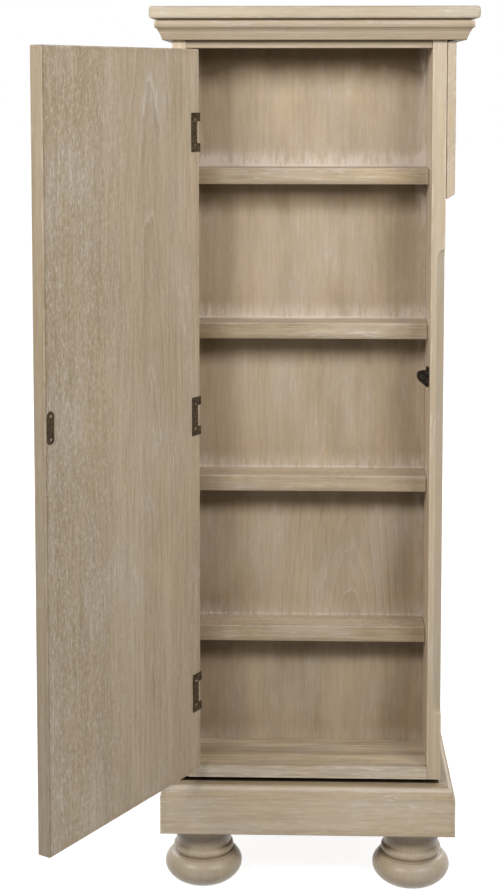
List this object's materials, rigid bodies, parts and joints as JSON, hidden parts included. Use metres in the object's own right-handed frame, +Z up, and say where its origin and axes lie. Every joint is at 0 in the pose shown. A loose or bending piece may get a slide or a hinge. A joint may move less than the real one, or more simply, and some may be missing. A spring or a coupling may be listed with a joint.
{
  "type": "swivel accent chest",
  "caption": "Tall square limed-wood chest that turns on a plinth with bun feet, with a shelved compartment behind a door and drawers on the next side.",
  "frame": {"origin": "on the floor, on the axis the case turns about", "axes": "+Z up, the door side faces -Y and the drawer side faces +X"},
  "size_m": [0.6482, 0.8059, 1.422],
  "materials": {
    "pale_wood": "satin limed wood",
    "door_wood": "satin limed wood",
    "inner_wood": "satin limed wood",
    "plinth_wood": "satin limed wood",
    "foot_wood": "satin limed wood",
    "raw_wood": "plain sanded wood",
    "bronze": "dark antique bronze",
    "steel": "plain steel"
  },
  "bodies": {
    "base": {"plinth_front": "plinth_wood", "plinth_right": "plinth_wood", "plinth_back": "plinth_wood", "plinth_left": "plinth_wood", "plinth_deck": "plinth_wood", "plinth_base_board": "raw_wood", "bun_foot_front_left": "foot_wood", "bun_foot_front_right": "foot_wood", "bun_foot_back_left": "foot_wood", "bun_foot_back_right": "foot_wood", "swivel_lower_plate": "steel", "swivel_ball_ring": "steel"},
    "chest": {"swivel_upper_plate": "steel", "case_floor": "pale_wood", "post_front_left": "pale_wood", "post_front_right": "pale_wood", "post_back_left": "pale_wood", "post_back_right": "pale_wood", "side_panel_left": "pale_wood", "side_panel_back": "pale_wood", "compartment_back": "inner_wood", "compartment_wall": "inner_wood", "shelf_1": "inner_wood", "shelf_2": "inner_wood", "shelf_3": "inner_wood", "shelf_4": "inner_wood", "door_head_rail": "pale_wood", "drawer_head_rail": "pale_wood", "cornice_slab": "pale_wood", "cornice_front": "pale_wood", "cornice_right": "pale_wood", "cornice_back": "pale_wood", "cornice_left": "pale_wood", "dust_panel_1": "raw_wood", "dust_panel_2": "raw_wood", "dust_panel_3": "raw_wood", "dust_panel_4": "raw_wood", "hinge_frame_leaf_top": "bronze", "hinge_frame_leaf_middle": "bronze", "hinge_frame_leaf_bottom": "bronze", "push_latch": "bronze"},
    "door": {"door_panel": "door_wood", "hinge_door_leaf_top": "bronze", "hinge_door_leaf_middle": "bronze", "hinge_door_leaf_bottom": "bronze", "latch_strike": "bronze"},
    "drawer_1": {"drawer_1_front": "pale_wood", "drawer_1_box": "raw_wood"},
    "drawer_2": {"drawer_2_front": "pale_wood", "drawer_2_box": "raw_wood", "drawer_2_knob": "bronze"},
    "drawer_3": {"drawer_3_front": "pale_wood", "drawer_3_box": "raw_wood", "drawer_3_knob": "bronze"},
    "drawer_4": {"drawer_4_front": "pale_wood", "drawer_4_box": "raw_wood", "drawer_4_knob": "bronze"},
    "drawer_5": {"drawer_5_front": "pale_wood", "drawer_5_box": "raw_wood", "drawer_5_knob": "bronze"}
  },
  "joints": [
    {"name": "swivel", "type": "hinge", "parent": "base", "child": "chest", "pos_m": [0, 0, 0.1795], "axis": [0, 0, 1], "continuous": true},
    {"name": "door_hinge", "type": "hinge", "parent": "chest", "child": "door", "pos_m": [-0.1917, -0.2176, 0.7805], "axis": [0, 0, -1], "range_deg": [-121, 49]},
    {"name": "drawer_1_slide", "type": "slide", "parent": "chest", "child": "drawer_1", "axis": [1, 0, 0], "range_m": [0, 0.3]},
    {"name": "drawer_2_slide", "type": "slide", "parent": "chest", "child": "drawer_2", "axis": [1, 0, 0], "range_m": [0, 0.3]},
    {"name": "drawer_3_slide", "type": "slide", "parent": "chest", "child": "drawer_3", "axis": [1, 0, 0], "range_m": [0, 0.3]},
    {"name": "drawer_4_slide", "type": "slide", "parent": "chest", "child": "drawer_4", "axis": [1, 0, 0], "range_m": [0, 0.3]},
    {"name": "drawer_5_slide", "type": "slide", "parent": "chest", "child": "drawer_5", "axis": [1, 0, 0], "range_m": [0, 0.3]}
  ]
}
